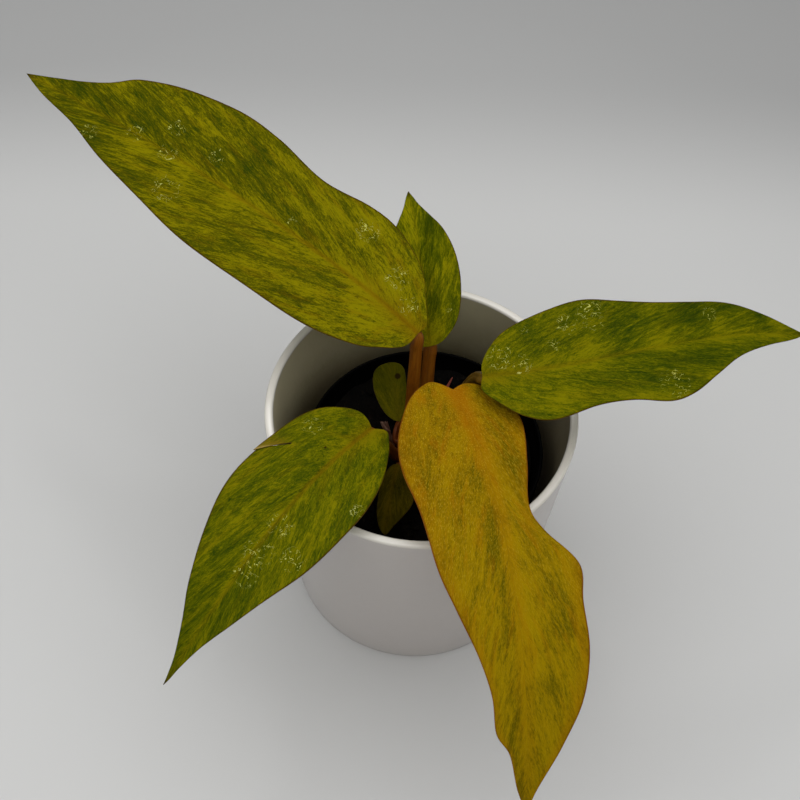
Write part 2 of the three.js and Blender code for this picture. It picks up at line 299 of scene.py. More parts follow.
# %% Turn a profile about a vertical axis
def tube_faces(rings, sides):
    """Faces of rings of points closed at each end round a middle point. The two middles come last."""
    at = lambda i, j: i * sides + j % sides
    grid = [(i, j) for i in range(rings - 1) for j in range(sides)]
    faces = [(at(i, j), at(i, j + 1), at(i + 1, j + 1), at(i + 1, j)) for i, j in grid]
    faces += [(rings * sides, at(0, j + 1), at(0, j)) for j in range(sides)]
    faces += [(rings * sides + 1, at(rings - 1, j), at(rings - 1, j + 1)) for j in range(sides)]
    return faces


def turned(profile, segments, center=(0, 0), wobble=None):
    """Points and faces of a profile of [radius, height] pairs in mm, whose first and last are on the axis."""
    profile = np.array(profile, float)
    angle = np.linspace(0, 2 * math.pi, segments, endpoint=False)
    ring = profile[1:-1]
    radius = ring[:, 0, None] + (wobble(angle[None, :], ring[:, 1, None]) if wobble else 0)
    x = center[0] + radius * np.cos(angle)
    y = center[1] + radius * np.sin(angle)
    z = np.repeat(ring[:, 1, None], segments, axis=1)
    middles = [[*center, profile[0, 1]], [*center, profile[-1, 1]]]
    points = np.vstack([np.stack([x, y, z], -1).reshape(-1, 3), middles])
    return points * MM, tube_faces(len(ring), segments)


print("a top turned from 3 points has", len(turned([(0, 0), (1, 1), (0, 2)], 8)[1]), "faces")


# %% Parts of a profile
def arc(center, radius, start, end, steps):
    """Points of an arc in the profile's plane, its angles in degrees."""
    angles = np.radians(np.linspace(start, end, steps))
    return [(center[0] + radius * math.cos(a), center[1] + radius * math.sin(a)) for a in angles]


def straight(a, b, steps):
    """Points between a and b, without the ends."""
    return [tuple(np.array(a) + (np.array(b) - a) * i / steps) for i in range(1, steps)]


print("halfway along a straight:", straight((0, 0), (2, 4), 2))


# %% [markdown]
# ## White cover pot
# The pot is plain satin ceramic: a straight taper from foot to rim and a flat lip with rounded corners.
# The glaze is thin, so it shows no drips, but it is faintly cloudy and has a fine orange-peel skin. It could
# be one glossy surface, but a matt body under a soft clear coat is nearer to satin glaze: seen square on it
# shows the clay's warmth, and near the outline the coat picks up the pale room. The top face of the lip is
# painted a paler white: painted light where it faces up. The inside is unglazed and blotched with stains,
# and painted shade darkens it towards the bottom and on the right side, under the leaves.

# %% Glaze
def pot_glaze():
    f = Finish("satin_white_glaze")
    place = f.place()
    cloud = f.noise(place, scale=14, detail=4).between(0.3, 0.75)
    pepper = f.noise(place, scale=900, detail=1).between(0.74, 0.8)
    _, _, height = f.axes(place)
    skin = f.noise(place, scale=260, detail=2)
    lip = height.between(0.1238, 0.1250)
    foot = 1 - height.between(0.0, 0.012)
    colour = f.blend(cloud, (0.53, 0.482, 0.452), (0.572, 0.523, 0.489))
    # Paler white on the top face of the lip: painted light where it faces up.
    colour = f.blend(lip, colour, (0.75, 0.715, 0.64))
    colour = f.blend(pepper * 0.35, colour, (0.35, 0.31, 0.26))
    colour = f.blend(foot * 0.25, colour, (0.5, 0.48, 0.45))
    return f.finish(
        Base_Color=colour, Roughness=cloud * 0.12 + 0.42, Normal=f.bump(skin, 0.0003, 0.25),
        Coat_Weight=1.0, Coat_Roughness=0.25, Coat_IOR=1.6, Specular_IOR_Level=0.4,
    )


def pot_inside():
    f = Finish("bisque_inside")
    place = f.place()
    sideways, _, height = f.axes(place)
    stain = f.noise(place, scale=35, detail=5, rough=0.65)
    # Darker brown towards the bottom: painted shade deep in the pot, mixed with blotches of stain.
    painted_depth_shade_and_stain = (1 - height.between(0.07, 0.125)) * 0.7 + stain * 0.4
    # Darker on the right side: painted shade where the leaves above shadow the wall.
    painted_right_side_shade = sideways.between(0.01, 0.055)
    colour = f.blend(painted_depth_shade_and_stain.between(0.1, 1.0), (0.66, 0.60, 0.39), (0.21, 0.165, 0.078))
    colour = f.blend(painted_right_side_shade * 0.75, colour, (0.10, 0.075, 0.04))
    grain = f.noise(place, scale=700, detail=2)
    return f.finish(Base_Color=colour, Roughness=0.7 + stain * 0.1, Normal=f.bump(grain, 0.0003, 0.3))


# %% Cover pot
def cover_pot():
    _, high = (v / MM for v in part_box("cover_pot"))
    rim, height = high[0], high[2]
    base, wall, floor = 55.1, 3.6, 5.0  # mm, like the corner radii
    lip, corner = 1.2, 5
    slope = (rim - base) / height
    outer = lambda z: base + slope * z
    inner = outer(floor + corner) - wall
    profile = [(0, 0), *straight((0, 0), (base - 1.6, 0), 6), (base - 1.6, 0)]
    profile += arc((base - 1.4, 1.5), 1.5, -80, 0, 6)
    profile += straight((outer(1.6), 1.6), (outer(height - lip), height - lip), 40)
    profile += arc((rim - lip, height - lip), lip, 0, 84, 9)
    profile += arc((rim - wall + lip, height - lip), lip, 96, 180, 9)
    profile += straight((rim - wall, height - lip), (inner, floor + corner), 30)
    profile += arc((inner - corner, floor + corner), corner, 0, -88, 8)
    profile += [(30, floor), (0, floor)]
    uneven = lambda angle, z: 0.12 * ripple(4, 2 * np.cos(angle), 2 * np.sin(angle), z / 30)
    points, faces = turned(profile, 240, wobble=uneven)
    inside = []
    for face in faces:
        x, y, z = points[list(face)].mean(axis=0) / MM
        inside.append(int(math.hypot(x, y) < outer(z) - wall + 0.6 and floor - 1 < z < height - lip - 1))
    skins = [pot_glaze(), pot_inside()]
    add_piece("white_cover_pot", points, faces, skins, "cover_pot", face_material=inside)


cover_pot()

# %% [markdown]
# ## Grower's pot
# Nurseries use thin blown or injected pots in black recycled plastic. The collar at the top is a step
# wider than the body so that pots stack without sticking, and it stiffens the rim. The surface is low
# gloss, streaked from the mould, and dusty with dry compost near the rim.

# %% Black recycled plastic
def black_plastic():
    f = Finish("black_recycled_plastic")
    place = f.place()
    streak = f.noise(f.stretched(place, (90, 90, 12)), detail=4)
    dust = f.noise(place, scale=420, detail=5, rough=0.7).between(0.58, 0.72)
    colour = f.blend(streak, (0.0012, 0.0012, 0.0013), (0.003, 0.0028, 0.0028))
    colour = f.blend(dust * 0.3, colour, (0.012, 0.009, 0.006))
    return f.finish(
        Base_Color=colour, Roughness=dust * 0.35 + streak * 0.1 + 0.5,
        Normal=f.bump(f.noise(place, scale=900, detail=2), 0.0002, 0.3), Specular_IOR_Level=0.02,
    )


# %% Grower's pot
def growers_pot():
    low, high = (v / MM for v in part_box("nursery_pot"))
    center = ((low[0] + high[0]) / 2, (low[1] + high[1]) / 2)
    rim, foot, top = (high[0] - low[0]) / 2, low[2], high[2]
    wall, collar, body, foot_radius = 1.3, 9.0, rim - 1.6, 40.0
    profile = [(0, foot), (foot_radius - 2, foot), *arc((foot_radius - 1.5, foot + 1.5), 1.5, -80, -5, 5)]
    profile += straight((foot_radius, foot + 2), (body, top - collar - 1.2), 12)
    profile += [(body, top - collar - 1.2), (body + 0.5, top - collar - 0.6), (rim - 0.4, top - collar)]
    profile += [(rim - 0.25, top - collar / 2), (rim - 0.1, top - 1.4)]
    profile += arc((rim - 0.65, top - 0.65), 0.65, 0, 180, 9)
    profile += [(rim - wall, top - 1.5), (rim - wall - 0.2, top - collar / 2)]
    profile += [(rim - wall - 0.3, top - collar), (body - wall, top - collar - 1.4)]
    profile += straight((body - wall, top - collar - 1.4), (foot_radius - wall, foot + 3), 12)
    profile += [(foot_radius - wall, foot + 3), (foot_radius - 3, foot + 2), (0, foot + 2)]
    oval = lambda angle, z: 0.25 * np.cos(2 * angle + 0.6) * (z - foot) / (top - foot)
    points, faces = turned(profile, 180, center, oval)
    add_piece("black_growers_pot", points, faces, [black_plastic()], "nursery_pot")


growers_pot()

# %% [markdown]
# ## Potting soil
# Peat-based soil is nearly black when moist. It settles into an uneven skin of fibre with crumbs of bark
# lying on it. A displaced grid gives the skin, and a few hundred faceted crumbs, merged into one piece,
# give the shadows between them that a bump alone doesn't.

# %% Soil finish
def soil_finish(name, wet, dry, fibre):
    f = Finish(name)
    place = f.place()
    grain = f.noise(place, scale=520, detail=6, rough=0.7)
    patch = f.noise(place, scale=60, detail=3)
    strand = f.noise(f.stretched(place, (900, 160, 300)), detail=3).between(0.62, 0.7)
    colour = f.blend((grain * 0.6 + patch * 0.5).between(0.45, 0.7), wet, dry)
    colour = f.blend(strand * 0.5, colour, fibre)
    return f.finish(Base_Color=colour, Roughness=0.95 - patch * 0.15, Normal=f.bump(grain, 0.0012, 0.8),
                    Specular_IOR_Level=0.1)


peat = soil_finish("moist_peat", (0.0012, 0.0009, 0.0007), (0.005, 0.0032, 0.0022), (0.02, 0.012, 0.006))


# %% Soil skin
def soil():
    low, high = (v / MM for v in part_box("potting_soil"))
    center = ((low[0] + high[0]) / 2, (low[1] + high[1]) / 2)
    radius, top = (high[0] - low[0]) / 2, high[2] - 0.6
    profile = [(0, low[2]), (38.2, low[2]), (radius - 1.0, top - 8), (radius - 0.4, top - 1)]
    profile += [(radius * r, top) for r in np.linspace(0.985, 0.01, 60)] + [(0, top)]
    points, faces = turned(profile, 170, center)
    x, y, z = points.T / MM
    skin = np.hypot(x - center[0], y - center[1]) < radius * 0.99
    bumps = 0.7 * ripple(11, x / 5, y / 5)
    bumps += 0.35 * ripple(12, x / 1.6, y / 1.6)
    bumps += 0.2 * ripple(13, x / 0.7, y / 0.7)
    points[:, 2] += np.where(skin & (z > top - 0.5), bumps, 0) * MM
    add_piece("potting_soil_body", points, faces, [peat], "potting_soil")
    return center, radius, top


soil_center, soil_radius, soil_top = soil()
print("the soil is", round(2 * soil_radius), "mm across and its top is at", round(soil_top, 1), "mm")


# %% Crumbs lying on the soil
CRUMB_SIZES, CRUMB_SHARES = [1.2, 1.8, 2.6, 4.2], [0.4, 0.35, 0.18, 0.07]  # mm, and how many of each


def crumb(rng, size):
    """A lump of bark: eight corners of a squashed box, pushed about."""
    corners = np.array([[x, y, z] for x in (-1, 1) for y in (-1, 1) for z in (-1, 1)], float)
    corners += rng.uniform(-0.45, 0.45, (8, 3))
    corners *= size * np.array([1, rng.uniform(0.4, 0.9), rng.uniform(0.25, 0.6)]) / 2
    heading, tilt = rng.uniform(0, 2 * math.pi), rng.uniform(-0.5, 0.5)
    spin = np.array(Matrix.Rotation(heading, 3, "Z") @ Matrix.Rotation(tilt, 3, "X"))
    sides = [(0, 1, 3, 2), (4, 6, 7, 5), (0, 4, 5, 1), (2, 3, 7, 6), (0, 2, 6, 4), (1, 5, 7, 3)]
    return corners @ spin.T, sides


def crumbs(center, radius, top, count):
    rng = np.random.default_rng(5)
    points, faces = [], []
    for _ in range(count):
        r, a = (radius - 3) * math.sqrt(rng.uniform(0.01, 1)), rng.uniform(0, 2 * math.pi)
        lump, sides = crumb(rng, rng.choice(CRUMB_SIZES, p=CRUMB_SHARES))
        at = np.array([center[0] + r * math.cos(a), center[1] + r * math.sin(a), top + rng.uniform(0.2, 0.8)])
        faces += [tuple(len(points) + i for i in side) for side in sides]
        points += list(lump + at)
    bark = soil_finish("bark_crumb", (0.002, 0.0014, 0.001), (0.008, 0.005, 0.003), (0.025, 0.015, 0.008))
    piece = add_piece("soil_crumbs", np.array(points) * MM, faces, [bark])
    piece.data.polygons.foreach_set("use_smooth", [False] * len(piece.data.polygons))


crumbs(soil_center, soil_radius, soil_top, count=420)

# %% [markdown]
# ## Stem and roots
# The stem is a short thick column, ringed where old leaves came off, and the roots spread through the
# soil from its foot. A stem could be sculpted, but so little of it shows between the stalks that a turned
# profile with rings and a slightly uneven radius is enough. The roots are out of sight in the soil, so the
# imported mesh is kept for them, and only a pale corky skin is put on it.

# %% Bark and root skin
def stem_bark():
    f = Finish("stem_bark")
    place = f.place()
    rings = f.noise(f.stretched(place, (60, 60, 700)), detail=3)
    patch = f.noise(place, scale=180, detail=4)
    colour = f.blend(patch.between(0.35, 0.65), (0.10, 0.035, 0.012), (0.20, 0.10, 0.03))
    colour = f.blend(rings.between(0.55, 0.7) * 0.6, colour, (0.05, 0.02, 0.01))
    return f.finish(Base_Color=colour, Roughness=patch * 0.2 + 0.5, Normal=f.bump(rings, 0.0008, 0.6))


def root_skin():
    f = Finish("root_skin")
    place = f.place()
    cork = f.noise(place, scale=300, detail=5, rough=0.65)
    colour = f.blend(cork.between(0.35, 0.7), (0.24, 0.14, 0.07), (0.55, 0.42, 0.26))
    return f.finish(Base_Color=colour, Roughness=cork * 0.15 + 0.75, Normal=f.bump(cork, 0.0006, 0.6))


corky = root_skin()
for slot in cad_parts["roots"].material_slots:
    slot.material = corky


# %% Main stem
def main_stem():
    low, high = (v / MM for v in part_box("main_stem"))
    center = ((low[0] + high[0]) / 2, (low[1] + high[1]) / 2)
    radius = (high[0] - low[0]) / 2
    foot, top, dome = low[2], high[2], 5
    profile = [(0, foot), (radius - 1, foot)]
    ringed = lambda z: radius * (0.93 + 0.07 * math.cos(z * 1.1) ** 8)
    profile += [(ringed(z), z) for z in np.linspace(foot + 1, top - 6, 60)]
    profile += [(radius * math.cos(a), top - dome + dome * math.sin(a)) for a in np.linspace(0.1, 1.5, 10)]
    profile += [(0, top)]
    rough = lambda angle, z: 0.15 * ripple(21, 2 * np.cos(angle), 2 * np.sin(angle), z / 3)
    points, faces = turned(profile, 48, center, rough)
    add_piece("short_main_stem", points, faces, [stem_bark()], "main_stem")


main_stem()

# %% [markdown]
# ## Leaves: shape
# Each blade is drawn flat and then bent. Flat, the two halves' edges are lists of [station, width]:
# station 0 is where the stalk joins and 1 is the tip, and the width is in mm from the midrib. Bent, the
# midrib follows four control points, each half rises by `fold` and curls down by `curl`.
# The grid's rows follow the side veins, which leave the midrib at a slant and sweep towards the tip, so
# any pattern along a row looks as if it had grown there. `crinkled` and `spots` say where the skin has
# puckered or gone brown, and `shaded` and `bright` where its mottling is darker or paler, as
# [station, width, radius]: partly the leaf's own drifts of colour, partly painted shade in folds and under
# other leaves and painted light along the midrib's ridge. `tear` is the station where the edge of one leaf
# has split.
# A leaf could also be a flat plane with a cut-out picture on it, but then it would have no thickness, no
# raised midrib underneath and no real tear.

# %% The seven leaves
LEAVES = {
    1: dict(  # the largest leaf, held up and to the back left
        rib=[(-3, 16, 156), (-57, 58, 175), (-126, 89, 191), (-179, 138, 170)],
        left=[(0, 8), (0.03, 15), (0.08, 22), (0.18, 28), (0.32, 30), (0.46, 29), (0.58, 24), (0.7, 18),
              (0.81, 10), (0.92, 5)],
        right=[(0, 5), (0.03, 12), (0.08, 22), (0.16, 29), (0.23, 30), (0.33, 27), (0.44, 31), (0.54, 33),
               (0.66, 30), (0.75, 23), (0.81, 13), (0.92, 5)],
        face=(0.12, -0.3, 1), fold=0.12, curl=0.004, wave=1.2, waves=3,
        stalk=[(-4.9, 5.6, 94), (-4.1, 7.2, 118), (-3.6, 12, 138)], stalk_radius=(2.7, 2.1),
        crinkled=[(0.62, -12, 4), (0.76, 10, 4), (0.68, 0, 4), (0.6, 0, 4), (0.51, -10, 4), (0.55, 14, 6),
                  (0.2, -20, 5), (0.1, -12, 5), (0.32, -4, 2), (0.05, -6, 4)],
        # Its shaded places follow a fold beside the midrib: painted shade, with darker mottling.
        shaded=[(0.86, -3, 6), (0.77, -5, 7), (0.68, -7, 8), (0.6, -9, 8), (0.52, -9, 7), (0.45, -20, 9),
                (0.75, 14, 6)],
        bright=[(0.78, -16, 7), (0.66, 4, 6), (0.55, 3, 6), (0.44, 4, 6), (0.12, 0, 14), (0.2, -24, 6)]),
    2: dict(  # a small upright leaf behind it
        rib=[(2, 24, 136), (-1, 39, 150), (-4, 56, 163), (-9.3, 74.5, 175)],
        left=[(0.02, 6), (0.12, 11), (0.25, 14), (0.4, 15), (0.55, 14.5), (0.69, 11.5), (0.8, 7.5),
              (0.9, 3.4), (0.96, 1.6)],
        right=[(0.02, 5), (0.08, 9.5), (0.17, 13.5), (0.3, 15.8), (0.46, 16.5), (0.61, 15.3), (0.74, 12),
               (0.83, 7.5), (0.91, 3.4), (0.96, 1.6)],
        face=(-0.3, -0.75, 1), fold=0.12, curl=0.004, wave=0.4, waves=2,
        stalk=[(0.8, 5.6, 94), (1.9, 13, 108), (1.9, 21, 122)], stalk_radius=(2.5, 2.4),
        crinkled=[(0.25, -10, 2)],
        shaded=[(0.75, -7, 5), (0.6, -5, 5), (0.45, -4, 5), (0.3, -3, 4)],
        bright=[(0.85, 2, 4), (0.7, 3, 5), (0.55, 2, 4)]),
    3: dict(  # the glossy leaf reaching right
        rib=[(23, -3, 155), (72, -4, 168), (117, 24, 161), (159, 35, 140)],
        left=[(0, 5), (0.02, 11), (0.06, 17), (0.12, 21), (0.21, 24), (0.31, 25), (0.42, 22), (0.53, 19),
              (0.63, 16), (0.75, 14), (0.85, 9), (0.94, 3)],
        right=[(0, 6), (0.04, 12), (0.1, 19), (0.17, 22), (0.28, 19), (0.37, 20), (0.47, 24), (0.55, 22),
               (0.64, 16), (0.73, 10), (0.84, 6), (0.94, 3)],
        face=(-0.05, -0.25, 1), fold=0.1, curl=0.003, wave=1, waves=3,
        stalk=[(4.6, -2.8, 94.5), (11, 4, 110), (19.5, 15.5, 135.5)], stalk_radius=(2.5, 1.9),
        crinkled=[(0.05, 7, 5), (0.11, 3, 4), (0.13, 17, 2), (0.25, 16, 4), (0.33, 18, 6), (0.2, 8, 3),
                  (0.5, -17, 6), (0.68, 10, 3)],
        shaded=[(0.4, 12, 8), (0.62, 12, 6), (0.15, 14, 6), (0.85, 6, 5)],
        bright=[(0.3, 4, 5), (0.5, 3, 6), (0.7, 2, 5), (0.2, -10, 7), (0.9, 2, 4)]),
    4: dict(  # the newest leaf, amber, hanging over the front of the rim
        rib=[(12, -3, 145), (35, -60, 158), (43, -121, 142), (45, -155, 86)],
        left=[(-0.004, 5), (0.012, 10.5), (0.05, 17), (0.13, 20), (0.23, 16), (0.33, 11.5), (0.39, 15),
              (0.47, 26), (0.55, 25), (0.65, 25), (0.76, 21), (0.85, 13), (0.94, 4)],
        right=[(-0.03, 5), (-0.035, 9), (-0.01, 17), (0.04, 24), (0.11, 30), (0.19, 32), (0.3, 30),
               (0.44, 28), (0.54, 23), (0.64, 17), (0.73, 13), (0.81, 12), (0.86, 7), (0.94, 4)],
        face=(0.1, -0.25, 1), fold=0.11, curl=0.004, wave=0.8, waves=3,
        stalk=[(0.5, -7.1, 94.5), (3, -9, 112), (8, -8, 128)], stalk_radius=(2.5, 1.9),
        shaded=[(0.12, 14, 7), (0.22, 12, 5), (0.6, 16, 6), (0.72, 12, 5)],
        bright=[(0.2, 0, 5), (0.3, 0, 5), (0.4, 1, 5), (0.5, 2, 5), (0.58, 4, 6), (0.68, 4, 5),
                (0.5, -20, 7)]),
    5: dict(  # the leaf over the front left of the rim, with a tear in its outer edge
        rib=[(-20, -15, 132), (-50, -53, 148), (-73, -92, 132), (-97, -112, 92)],
        left=[(-0.02, 5), (0.01, 10), (0.06, 15.5), (0.14, 21.5), (0.25, 25.3), (0.36, 25), (0.48, 22),
              (0.59, 17), (0.71, 11), (0.83, 4.8), (0.92, 1.9), (0.97, 0.9)],
        right=[(-0.014, 4.5), (-0.016, 9), (0.006, 14.2), (0.06, 21), (0.14, 24.8), (0.27, 26.8), (0.38, 27),
               (0.49, 24.6), (0.6, 20.2), (0.7, 14.5), (0.8, 8), (0.9, 3), (0.96, 1)],
        face=(-0.15, -0.2, 1), fold=0.12, curl=0.004, wave=0.8, waves=3,
        stalk=[(-8.4, -5.5, 94.5), (-13, -7, 104), (-15, -11, 118)], stalk_radius=(2.4, 1.9), tear=0.27,
        crinkled=[(0.12, -17, 4), (0.42, 2, 5), (0.52, 2, 6), (0.59, 3, 5), (0.48, 15, 5), (0.26, 23, 3)],
        spots=[(0.15, -6, 0.7)]),
    6: dict(  # a small rounded early leaf low at the back
        rib=[(-9, 9.5, 100), (-10, 18, 104), (-12.5, 26, 106.6), (-14.8, 34.5, 108.3)],
        left=[(0.04, 3), (0.16, 6), (0.34, 8), (0.55, 9), (0.75, 8.5), (0.89, 7), (0.97, 4)],
        right=[(0.08, 2), (0.25, 4), (0.5, 5), (0.7, 5.8), (0.87, 5.6), (0.96, 3.4)],
        face=(0, -0.2, 1), fold=0.1, curl=0.004, wave=0.2, waves=2,
        stalk=[(-10, 2.6, 94.5), (-11, 4, 96.5), (-10.3, 7, 98.5)], stalk_radius=(1.3, 1.1),
        spots=[(0.73, -2.4, 1.5)]),
    7: dict(  # a small dark early leaf low at the front
        rib=[(-9, -13, 102), (-11, -23, 102.5), (-12.5, -35, 101.3), (-13, -45.6, 98.8)],
        left=[(0.04, 2.5), (0.14, 4.5), (0.3, 8), (0.48, 9.8), (0.6, 9.3), (0.74, 6.5), (0.88, 3),
              (0.96, 1.4)],
        right=[(0.04, 2), (0.14, 3.6), (0.3, 4.8), (0.5, 5), (0.7, 4.6), (0.86, 3.4), (0.95, 1.8)],
        face=(-0.1, -0.1, 1), fold=0.1, curl=0.004, wave=0.2, waves=2,
        stalk=[(-4.2, -8, 94.5), (-5, -9.5, 97), (-7, -11, 100)], stalk_radius=(1.3, 1.1),
        # Its shaded places darken its base: a painted shadow under the leaves above.
        shaded=[(0.0, 0, 8), (0.2, 0, 8), (0.35, -6, 5)], bright=[(0.6, 2, 5)]),
}
print(len(LEAVES), "leaves")


# %% Bend a flat blade into place
def path_length(path):
    return float(np.linalg.norm(np.diff(path, axis=0), axis=1).sum())


def rib_length(leaf):
    return path_length(bezier(leaf["rib"], np.linspace(0, 1, 200)))


def bend(leaf, station, width, lift):
    """Places of flat points at a station and signed width, raised by lift off the bent surface, in mm."""
    t = np.clip(station, 0, 1)
    along = bezier_direction(leaf["rib"], t)
    across = unit(np.cross(np.broadcast_to(leaf["face"], along.shape), along))
    out = np.cross(along, across)
    reach = 3 * (np.array(leaf["rib"][1], float) - leaf["rib"][0])
    point = bezier(leaf["rib"], t) + np.minimum(station, 0)[..., None] * reach
    w = np.abs(width)
    rise = leaf["fold"] * w - leaf["curl"] * w * w + lift
    return point + across * width[..., None] + out * rise[..., None]


print("midribs:", {number: round(rib_length(leaf)) for number, leaf in LEAVES.items()}, "mm")


# %% The grid of a flat blade
def blade_grid(leaf, rows, half_columns):
    """For each grid point: k along its row of veins, s out from the midrib, its side, station and width."""
    length = rib_length(leaf)
    k = np.linspace(0, 1, rows + 1)[:, None]
    columns = np.arange(-half_columns, half_columns + 1)[None, :]
    s = (np.abs(columns) / half_columns) ** 1.35
    side = np.where(columns < 0, -1, 1)
    edges = {}
    for sign, name in ((1, "left"), (-1, "right")):
        outline = [(0, 0), *leaf[name], (1, 0)]
        edges[sign] = smooth_line([(u * length, w) for u, w in outline], rows + 1)
    edge = np.where(side[..., None] > 0, edges[1][:, None, :], edges[-1][:, None, :])
    station = k**1.5 * (1 - s) + edge[..., 0] / length * s
    return k + 0 * s, s + 0 * k, side + 0 * k, station, edge[..., 1] * s * side


coarse = blade_grid(LEAVES[1], 4, 2)
print("stations across the middle row of a coarse grid:", np.round(coarse[3][2], 2))


# %% Tear and marks
TEAR_FROM = 0.66  # how far out from the midrib the tear starts, as a share of the way to the edge


def tear_open(leaf, k, s, side, station, width):
    """Works the tear into the grid: a slit along one row, from the right edge inwards, and a raised flap."""
    row = np.arange(len(k))[:, None]
    last = int(np.argmax(station[:, 0] > leaf["tear"])) - 1
    right = side < 0
    station = station - 0.05 * np.sin(math.pi * s) * np.exp(-(((row - last) / 14) ** 2)) * right
    outer = np.clip((s - TEAR_FROM) / (1 - TEAR_FROM), 0, 1) ** 1.2 * right
    flap = np.exp(-(((last - row) / 6) ** 2)) * (row <= last) * outer
    station = station + 0.021 * flap
    width = width * (1 + 0.02 * flap)
    pale = flap * (0.25 + 0.75 * np.exp(-((last - row) / 1.2)))
    return last, station, width, 0.8 * flap, pale


def near(leaf, key, station, width):
    """1 at each of the leaf's [station, width, radius] places of one kind, fading to 0 away from it."""
    length, most = rib_length(leaf), 0 * station
    for at, off, radius in leaf.get(key, []):
        distance = ((station - at) * length) ** 2 + (width - off) ** 2
        most = np.maximum(most, np.exp(-distance / radius**2))
    return most


print("torn leaves:", [number for number, leaf in LEAVES.items() if "tear" in leaf])


# %% Two skins and an edge
def sheet_faces(rows, columns, is_open):
    """Faces of a thin sheet, and their kinds: 0 above, 1 below and 2 round the edge.

    Its first and last row are one point each, and is_open(i, j) says where a slit parts rows i and i + 1.
    """
    layer = (rows - 1) * columns + 2

    def at(i, j):
        if i == 0:
            return 0
        return layer - 1 if i == rows else 1 + (i - 1) * columns + j

    upper = []
    for i in range(rows):
        for j in range(columns - 1):
            corners = tuple(dict.fromkeys([at(i, j), at(i, j + 1), at(i + 1, j + 1), at(i + 1, j)]))
            if len(corners) > 2 and not is_open(i, j):
                upper.append(corners)
    edges = dict.fromkeys((a, b) for face in upper for a, b in zip(face, face[1:] + face[:1]))
    walls = [(a, b, b + layer, a + layer) for a, b in edges if (b, a) not in edges]
    faces = [tuple(reversed(f)) for f in upper] + [tuple(c + layer for c in f) for f in upper] + walls
    return faces, [0] * len(upper) + [1] * len(upper) + [2] * len(walls)


def sheet_points(grid, middle):
    """A grid's points in the same order: its first and last row give only the point at its middle."""
    return np.vstack([grid[0, middle][None], grid[1:-1].reshape(-1, 3), grid[-1, middle][None]])


print("a sheet of 3 by 3 points has", len(sheet_faces(2, 3, lambda i, j: False)[0]), "faces")


# %% Blade surface
VEIN_SLANT = 1.4  # mm that a pattern leans towards the tip for each mm out
HALF_THICK = 0.17  # mm
VEIN_GAP = 13  # mm from one side vein to the next
SIDE_SHIFT = 40.0  # mm, sets the patterns of the two halves apart


def relief(leaf, k, s, side, out, along_vein, seed):
    """How far a blade's surface waves at its edge and puckers between its side veins, in mm."""
    wave = leaf["wave"] * s * s * np.sin(2 * math.pi * leaf["waves"] * k + side) * np.sin(math.pi * k)
    fine = 0.16 * ripple(seed, along_vein / 4, out / 4, side * 3) * (1 - np.exp(-out / 4))
    broad = 0.55 * ripple(seed + 1, along_vein / 13, out / 7, side * 5) * s
    bent = 1.3 * ripple(seed + 2, along_vein / 20)
    puff = 0.10 * np.cos(2 * math.pi * along_vein / VEIN_GAP + bent) * np.sin(math.pi * s)
    return wave, np.sin(math.pi * np.clip(k, 0, 1)) ** 0.5 * (fine + broad + puff)


def blade(name, leaf, materials, node, slot, rows, half_columns, seed, crinkle, rib_depth):
    k, s, side, station, width = blade_grid(leaf, rows, half_columns)
    slit, flap, pale = None, 0, 0 * k
    if "tear" in leaf:
        slit, station, width, flap, pale = tear_open(leaf, k, s, side, station, width)
    out = np.abs(width)
    along_vein = k * rib_length(leaf) - VEIN_SLANT * out
    wave, puckers = relief(leaf, k, s, side, out, along_vein, seed)
    shape = wave + crinkle * puckers + flap
    near_rib = np.exp(-((out / (0.9 * rib_depth)) ** 2))
    upper = HALF_THICK - 0.22 * rib_depth * near_rib * (1 - k) ** 0.4
    lower = -HALF_THICK - 1.0 * rib_depth * near_rib * (1 - 0.8 * k)
    skins = [bend(leaf, station, width, shape + lift) for lift in (upper, lower)]

    slit_here = lambda i, j: i == slit and j < half_columns and s[i, j] > TEAR_FROM + 0.02
    faces, kinds = sheet_faces(rows, 2 * half_columns + 1, slit_here)
    marks = [near(leaf, kind, station, width) for kind in ("crinkled", "spots", "shaded", "bright")]
    grids = {
        "veins": (along_vein, out, side * SIDE_SHIFT),
        "blade": (k, s, out),
        "marks": (marks[0], marks[1], pale),
        "tones": (marks[2], marks[3], 0 * k),
    }
    attributes = {}
    for key, grid in grids.items():
        attributes[key] = np.tile(sheet_points(np.stack(grid, -1), half_columns), (2, 1))
    points = np.vstack([sheet_points(skin, half_columns) for skin in skins]) * MM
    add_piece(name, points, faces, materials, node, attributes, kinds)


# %% [markdown]
# ## Leaves: finish
# The leaves are mottled as if painted: dark olive, mid green and yellow streaks run out along the side
# veins, finer than a matchstick, in larger drifts of dark and light. The midrib is ochre, turning orange
# at the stalk, and the newest leaf is amber with an orange blush at its edge. The mottling could be painted
# by hand, but noise stretched along the veins, through the coordinates stored with the mesh, grows the same
# way on every leaf. Four sizes of noise are added up, and the sum picks dark, middle or light.
# The skin is waxy, and where it is finely crinkled the light catches on curly ridges. A ridge is drawn where
# a noise passes through its middle value, which gives thin winding lines. The ridges get a clear coat, and
# they are also painted pale yellow in the base colour: a painted highlight. A darker band beside the midrib
# is painted shade.

# %% Gleam, midrib and marks
def waxy_gleam(f, puckered):
    """1 on the thin winding ridges of the puckered places."""
    place = f.place()
    rings = f.noise(place, scale=330, detail=1, warp=1.4)
    ridge = 1 - (rings - 0.5).math("ABSOLUTE").between(0.006, 0.027)
    broken = f.noise(place, scale=460, detail=1)
    return ridge * broken.between(0.46, 0.54) * (puckered * (broken + 0.5)).between(0.25, 0.55)


